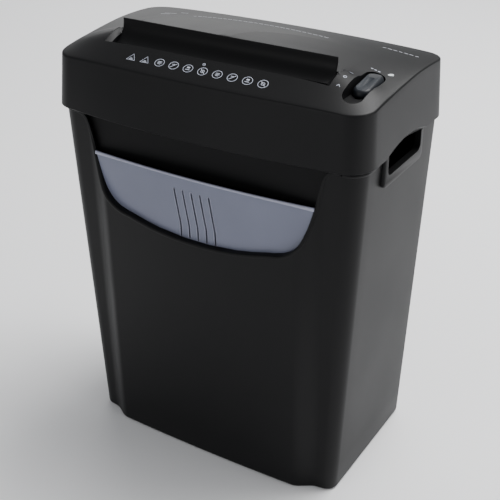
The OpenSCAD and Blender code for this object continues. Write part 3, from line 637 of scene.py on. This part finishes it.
notch_half, notch_z, notch_top, notch_r = 34, 333, 365, 6
notch = (
    [(grip_y + notch_half, notch_top), (grip_y - notch_half, notch_top)]
    + arc(grip_y - notch_half + notch_r, notch_z + notch_r, notch_r, 180, 270, 10)
    + arc(grip_y + notch_half - notch_r, notch_z + notch_r, notch_r, 270, 360, 10)
)


def boss(side):
    """The proud pad round a hand notch, with softened corners and edges."""
    half, r = notch_half + 6, 5
    rings = []
    for x, shrink in ((154, 0), (161.6, 0), (162.5, 0.5), (163, 1.4)):
        y0, y1, z0 = grip_y - half + shrink, grip_y + half - shrink, notch_z - 10 + shrink
        corners = arc(y0 + r, z0 + r, r, 180, 270, 6) + arc(y1 - r, z0 + r, r, 270, 360, 6)
        rings.append([(side * x, y, z) for y, z in [(y1, rim_z), (y0, rim_z)] + corners])
    return solid(rings)


foot_rounding = [(0, 2.2), (0.6, 1.1), (1.6, 0.3), (3, 0)]
wall_rings = [(mix(3, rim_z, i / 12), 0) for i in range(1, 13)]
shell = bin_solid(foot_rounding + wall_rings, "bin_shell")
combine(shell, [boss(1), boss(-1)], "UNION")
combine(shell, [bin_solid([(3, bin_wall + 1), (6, bin_wall), (rim_z + 4, bin_wall)])])
combine(shell, [
    prism(mirrored(cut_curve(2.0)), "Y", -100, -72),
    prism(notch, "X", 140, 170),
    prism(notch, "X", -170, -140),
])
plunger_low, plunger_high = [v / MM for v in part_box("interlock_plunger")]
rib_x, rib_y = (plunger_low.x + plunger_high.x) / 2, (plunger_low.y + plunger_high.y) / 2
rib_foot, rib_top, rib_back = 305, 323.4, bin_back - 1.5
rib_side = [
    (rib_y - 5, rib_foot + 3), (rib_y - 3, rib_foot), (rib_back, rib_foot),
    (rib_back, rib_top), (rib_y - 5, rib_top),
]
combine(shell, [prism(rib_side, "X", rib_x - 4, rib_x + 4)], "UNION")
finish_piece(shell, "bin_plastic", "bin", ["waste_bin"])


def rim_bead():
    """A rounded lip along the cut-out that turns in and runs back to the window."""
    r, back = 2.1, -78.2
    rings = []
    for (ix, iz), (ox, oz) in zip(cut_curve(0), cut_curve(r)):
        if iz > rim_z - 0.2:
            continue
        nx, nz = (ox - ix) / r, (oz - iz) / r
        face = panel_front(ox, oz)
        section = [(3.4, face + 0.02), (2.9, face - 0.28)]
        for a in range(0, 91, 15):
            c, s = math.cos(math.radians(a)), math.sin(math.radians(a))
            section.append((r * (1 - s), face - 0.35 + r * (1 - c)))
        section += [(0, back), (2.4, back), (2.4, face + 2.2), (3.4, face + 1.4)]
        rings.append([(ix + nx * out, y, iz + nz * out) for out, y in section])
    mirror = [[(-x, y, z) for x, y, z in ring] for ring in rings[:0:-1]]
    return add_mesh("cutout_rim", *tube(mirror + rings))


finish_piece(rim_bead(), "bin_plastic", "bin", (), 50)


def rim_roll(side):
    """A proud rolled edge under the head, from the cut-out's flare to the hand notch."""
    z, reach, half_height, root = rim_z - 3.4, 1.1, 1.7, -1.2
    path = [(x, y) for x, y in bin_outline(z, 0) if x > 136 and y < grip_y - 39]
    rings = []
    for k, (x, y) in enumerate(path):
        ax, ay = path[max(0, k - 1)]
        bx, by = path[min(len(path) - 1, k + 1)]
        length = math.hypot(bx - ax, by - ay)
        nx, ny = (by - ay) / length, (ax - bx) / length
        taper = smooth_step((k + 0.4) / 3)
        section = []
        for a in range(-90, 91, 20):
            c, s = math.cos(math.radians(a)), math.sin(math.radians(a))
            section.append((reach * c * taper, z + half_height * s))
        section += [(root, z + half_height), (root, z - half_height)]
        rings.append([(side * (x + nx * out), y + ny * out, h) for out, h in section])
    return add_mesh(f"rim_roll_{side}", *tube(rings))


finish_piece(join("rim_roll", [rim_roll(1), rim_roll(-1)]), "bin_plastic", "bin", (), 50)


# ---------- window ----------
sag_r = 1160
pane_front, pane_t, pane_low, pane_top = -84.8, 2, cut_low + 0.3, 313
slot_pitch, slot_first, slot_bend, slot_lean = 9.5, -24, 264, 6.0
slot_half, slot_top, slot_foot = 0.85, 298.7, cut_low + 1.2
rim_half, rim_top = 1.75, 299.6
lip_front, lip_hw = -86.2, 118.6


def bow(x, front):
    """Y of a face that bows out to front in the middle."""
    return front + sag_r - math.sqrt(sag_r ** 2 - x ** 2)


def pane_sheet():
    """A bowed sheet that follows the cut-out's edge."""
    edge_x, edge_z = zip(*cut_curve(-0.05))
    rows, columns = 26, 72
    rings = []
    for j in range(rows + 1):
        z = mix(pane_low, pane_top, j / rows)
        hw = np.interp(z, edge_z, edge_x)
        if z <= edge_z[0]:
            continue
        row = [mix(-hw, hw, i / columns) for i in range(columns + 1)]
        front = [(x, bow(x, pane_front), z) for x in row]
        rings.append(front + [(x, y + pane_t, z) for x, y, z in reversed(front)])
    return add_mesh("window_pane", *tube(rings))


def slot_centre(k, z):
    """X of the slot's middle: it leans down to a bend, and stands almost upright below it."""
    x = slot_first + slot_pitch * k
    if z > slot_bend:
        return x + slot_lean * (298.5 - z) / 34.5
    return x + slot_lean + 0.3 * (slot_bend - z) / 14


def slot_outline(k, half, top):
    heights = [slot_foot, 256, 262, slot_bend, 266, 272, 280, 290, top - half]
    right = [(slot_centre(k, z) + half, z) for z in heights]
    left = [(slot_centre(k, z) - half, z) for z in heights]
    x = slot_centre(k, top - half)
    cap = arc(x, top - half, half, 0, 180, 8)[1:-1]
    return right + cap + left[::-1]


pane = pane_sheet()
outward(pane)
combine(pane, [prism(slot_outline(k, slot_half, slot_top), "Y", -92, -74) for k in range(5)])
finish_piece(pane, "window_plastic", "bin", ["bin_window"], 40)


def slot_rim(k):
    """A fine raised edge round a slot."""
    rings = []
    outer, inner = slot_outline(k, rim_half, rim_top), slot_outline(k, slot_half, slot_top)
    for (ox, oz), (ix, iz) in zip(outer, inner):
        front = bow(ix, pane_front)
        mx, mz = (ox + ix) / 2, (oz + iz) / 2
        section = [(ox, 0.01, oz), (mx, -0.55, mz), (ix, -0.2, iz), (ix, 1.9, iz), (ox, 1.9, oz)]
        rings.append([(x, front + y, z) for x, y, z in section])
    return add_mesh(f"slot_rim_{k}", *tube(rings))


rims = join("slot_rims", [slot_rim(k) for k in range(5)])
finish_piece(rims, "window_plastic", "bin", (), 60)
# The slot rims take the lighter window copy, a painted highlight along their edges.
rims.data.materials[0] = painted_highlight_look

lip_rings = []
for i in range(97):
    x = mix(-lip_hw, lip_hw, i / 96)
    foot = -2.1 - 1.6 * (abs(x) / lip_hw) ** 4
    section = [
        (3.4, 0), (3.4, foot), (0.9, foot), (0.25, foot + 0.25), (0, foot + 0.9),
        (0.02, -0.8), (0.3, -0.2), (0.9, 0),
    ]
    front = bow(x, lip_front)
    lip_rings.append([(x, front + y, pane_top + z) for y, z in section])
lip = add_mesh("window_lip", *tube(lip_rings))
finish_piece(lip, "window_plastic", "bin", (), 50)
# The lip takes the lighter window copy, a painted highlight on its up-facing edge.
lip.data.materials[0] = painted_highlight_look


# ---------- slide knob ----------
knob_y = (knob_low.y + knob_high.y) / 2
knob_half = (knob_high.y - knob_low.y) / 2 + 1.2
knob_w = knob_high.x - knob_low.x + 0.6
knob_top, knob_brim = knob_high.z, 407.4
stem_hw, stem_half_y = 2, 3


def from_dish(x, y):
    """Distance from the middle of the thumb dish, 1 on its edge."""
    return math.hypot((x - switch_x) / (knob_w / 2) / 0.8, ((y - knob_y) / knob_half + 0.26) / 0.6)


def knob_height(x, y):
    """Low at the front, raised at the tail, with a big oval thumb dish between."""
    v = (y - knob_y) / knob_half
    slope = 4.2 * (1 - smooth_step((v + 1.2) / 1.9))
    dish = 1.9 * max(0, 1 - from_dish(x, y) ** 2) ** 0.8
    roll = 1.4 * max(0, (v - 0.62) / 0.38) ** 2
    return knob_top - slope - dish - roll


def knob_plan(shrink):
    return stadium(switch_x, knob_y, knob_half - shrink, knob_w - 2 * shrink, 24)


knob_rings = []
for z, shrink in ((405.0, 0.5), (405.4, 0.1), (405.8, 0), (406.6, 0), (knob_brim, 0.2)):
    knob_rings.append([(x, y, z) for x, y in knob_plan(shrink)])
for a in (20, 40, 60, 80, 90):
    s, c = math.sin(math.radians(a)), math.cos(math.radians(a))
    outline = knob_plan(0.2 + 2.8 * (1 - c))
    knob_rings.append([(x, y, mix(knob_brim, knob_height(x, y), s)) for x, y in outline])
base = knob_rings[-1]
for i in range(1, 45):
    share = 1 - i / 44.6
    ring = []
    for x, y, _ in base:
        px = switch_x + (x - switch_x) * share
        py = knob_y + (y - knob_y) * share
        ring.append((px, py, knob_height(px, py)))
    knob_rings.append(ring)
knob = solid(knob_rings, "knob_cap")
left, right = switch_x - stem_hw, switch_x + stem_hw
front, back = knob_y - stem_half_y, knob_y + stem_half_y
stem = [(left, front), (right, front), (right, back), (left, back)]
combine(knob, [prism(stem, "Z", knob_low.z, 406)], "UNION")
finish_piece(knob, "knob_plastic", "selector", ["slide_knob"], 28)
knob.data.materials.append(dish_look)
for face in knob.data.polygons:
    x, y, z = face.center / MM
    if z > knob_brim + 0.6 and from_dish(x, y) < 1:
        face.material_index = 1


# ---------- printed marks on the cover ----------
def on_crown(name, quads, look):
    """Thin printed plates on the crown, from four-cornered outlines in X and Y."""
    over, under, n = 0.07, 0.15, 4
    points, faces = [], []
    for quad in quads:
        top = len(points)
        foot = top + n
        points += [(x, y, crown(x, y) + over) for x, y in quad]
        points += [(x, y, crown(x, y) - under) for x, y in quad]
        faces.append(tuple(top + i for i in range(n)))
        faces.append(tuple(foot + i for i in reversed(range(n))))
        for i in range(n):
            k = (i + 1) % n
            faces.append((top + i, foot + i, foot + k, top + k))
    obj = add_mesh(name, points, faces)
    outward(obj)
    soften(obj)
    obj.data.materials.append(look)
    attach(obj, "head")
    return obj


def polar_quad(cx, cy, inner, outer, a, b):
    """A strip between two radii, from angle a to angle b."""
    corners = ((inner, a), (outer, a), (outer, b), (inner, b))
    return [(cx + r * math.cos(t), cy + r * math.sin(t)) for r, t in corners]


def ring_quads(cx, cy, r, width, steps=36):
    """A circle's outline as short straight strips."""
    angles = [2 * math.pi * i / steps for i in range(steps + 1)]
    return [polar_quad(cx, cy, r - width, r, a, b) for a, b in zip(angles, angles[1:])]


def bar(cx, cy, length, width, turn=0):
    """A straight stroke, cut into short pieces so that it follows the crown."""
    c, s = math.cos(math.radians(turn)), math.sin(math.radians(turn))
    steps = max(1, int(length / 4))
    quads = []
    v = width / 2
    for i in range(steps):
        u0, u1 = length * (i / steps - 0.5), length * ((i + 1) / steps - 0.5)
        corners = ((u0, -v), (u1, -v), (u1, v), (u0, v))
        quads.append([(cx + a * c - b * s, cy + a * s + b * c) for a, b in corners])
    return quads


def triangle_line(cx, cy, r, width):
    """A triangle's outline, point upwards."""
    angles = [math.radians(90 + 120 * i) for i in range(4)]
    return [polar_quad(cx, cy, r - 2 * width, r, a, b) for a, b in zip(angles, angles[1:])]


def strokes(cx, cy, *bars):
    """Bars of an icon, each given by its X and Y from the middle, length, width and turn."""
    return [quad for x, y, *rest in bars for quad in bar(cx + x, cy + y, *rest)]


icon_y, icon_first, icon_pitch, icon_r = -66.8, -76.3, 15.25, 4.9
icon_squash = 0.78
icons = []
for i in range(10):
    x = icon_first + icon_pitch * i
    if i < 2:
        icons += triangle_line(x, icon_y - 1.0, 5.6, 0.34)
        icons += strokes(x, icon_y, (0, -1.4, 2.6, 0.6), (0, -2.7, 4.2, 0.6))
        continue
    icons += ring_quads(x, icon_y, icon_r, 0.45)
    if i % 4 == 2:
        icons += strokes(x, icon_y, (0, 1.4, 4.4, 0.6), (0, -0.1, 4.4, 0.6), (0, -1.6, 3.0, 0.6))
    elif i % 4 == 3:
        icons += strokes(x, icon_y, (0, 0, 7.6, 0.55, 45), (-0.6, 1.4, 3.0, 0.6))
    elif i % 4 == 0:
        icons += strokes(x, icon_y, (0, 1.3, 3.0, 1.8), (0, -1.4, 4.6, 0.7))
    else:
        icons += ring_quads(x, icon_y, 1.9, 0.5, 20) + strokes(x, icon_y, (0, 0, 7.6, 0.55, -45))
slot_mark_x, slot_mark_y = -2.7, -58.3
icons += ring_quads(slot_mark_x, slot_mark_y, 1.5, 0.35, 20)
icons += bar(slot_mark_x, slot_mark_y, 1.6, 0.4)
icons = [[(x, icon_y + (y - icon_y) * icon_squash) for x, y in quad] for quad in icons]
on_crown("feed_icons", icons, print_ink)

mark_x, on_y, off_y, reverse_y = 123.6, -28.6, -40.2, -51.6
marks = strokes(mark_x, on_y, (0, 0, 3.4, 0.55), (0, -1.1, 3.4, 0.55))
marks += ring_quads(mark_x, off_y, 1.5, 0.5, 20)
marks += strokes(mark_x, reverse_y, (-0.7, 0, 2.6, 0.5, 50), (0.7, 0, 2.6, 0.5, -50))
for i in range(3):
    marks += bar(130.5 + 3.4 * i, -3.4 - 0.2 * i, 2.2, 0.9)
on_crown("switch_marks", marks, print_ink)

small_print = []
for length, cx, cy in ((15, -110, 40), (9, -97, 46), (11, -113, 35)):
    small_print += bar(cx, cy, length, 0.9, -4)
for i in range(26):
    share = i / 25
    length = 3.6 + (i * 7 % 3) * 0.5
    small_print += bar(mix(-73, 66, share), mix(29, 39, share) - 4 * share, length, 1.15, 3)
for i in range(7):
    length = 3.0 + (i * 5 % 3) * 0.5
    small_print += bar(mix(114, 145, i / 6), 56.5 + 0.2 * i, length, 1.2, 2)
on_crown("rear_marks", small_print, print_grey)

# ---------- stage and light ----------
floor_mesh = bpy.data.meshes.new("floor")
floor_mesh.from_pydata([(-6, -6, 0), (6, -6, 0), (6, 6, 0), (-6, 6, 0)], [], [(0, 1, 2, 3)])
floor = bpy.data.objects.new("floor", floor_mesh)
floor.location.z = -0.0005
bpy.context.scene.collection.objects.link(floor)
floor_look = bpy.data.materials.new("floor")
_, floor_shader = nodes_of(floor_look)
floor_shader.inputs["Base Color"].default_value = (0.93, 0.93, 0.94, 1)
floor_shader.inputs["Roughness"].default_value = 0.85
floor.data.materials.append(floor_look)

world = bpy.data.worlds.new("studio")
bpy.context.scene.world = world
world.use_nodes = True
world.node_tree.nodes["Background"].inputs["Color"].default_value = (0.95, 0.97, 1, 1)
world.node_tree.nodes["Background"].inputs["Strength"].default_value = 0.36


def softbox(name, place, target, size, power):
    data = bpy.data.lights.new(name, "AREA")
    data.shape = "RECTANGLE"
    data.size, data.size_y = size
    data.energy = power
    lamp = bpy.data.objects.new(name, data)
    lamp.location = place
    lamp.rotation_euler = (Vector(target) - Vector(place)).to_track_quat("-Z", "Y").to_euler()
    bpy.context.scene.collection.objects.link(lamp)


softbox("key", (0.6, 1.0, 2.3), (0, 0, 0.2), (1.8, 1.4), 100)
softbox("right_side", (2.0, -0.1, 0.9), (0, 0, 0.25), (1.0, 1.4), 8)
softbox("front_fill", (-0.6, -2.2, 1.1), (0, 0, 0.25), (1.2, 0.8), 9)
softbox("back_fill", (-1.4, 1.8, 1.2), (0, 0, 0.25), (1.4, 1.2), 12)
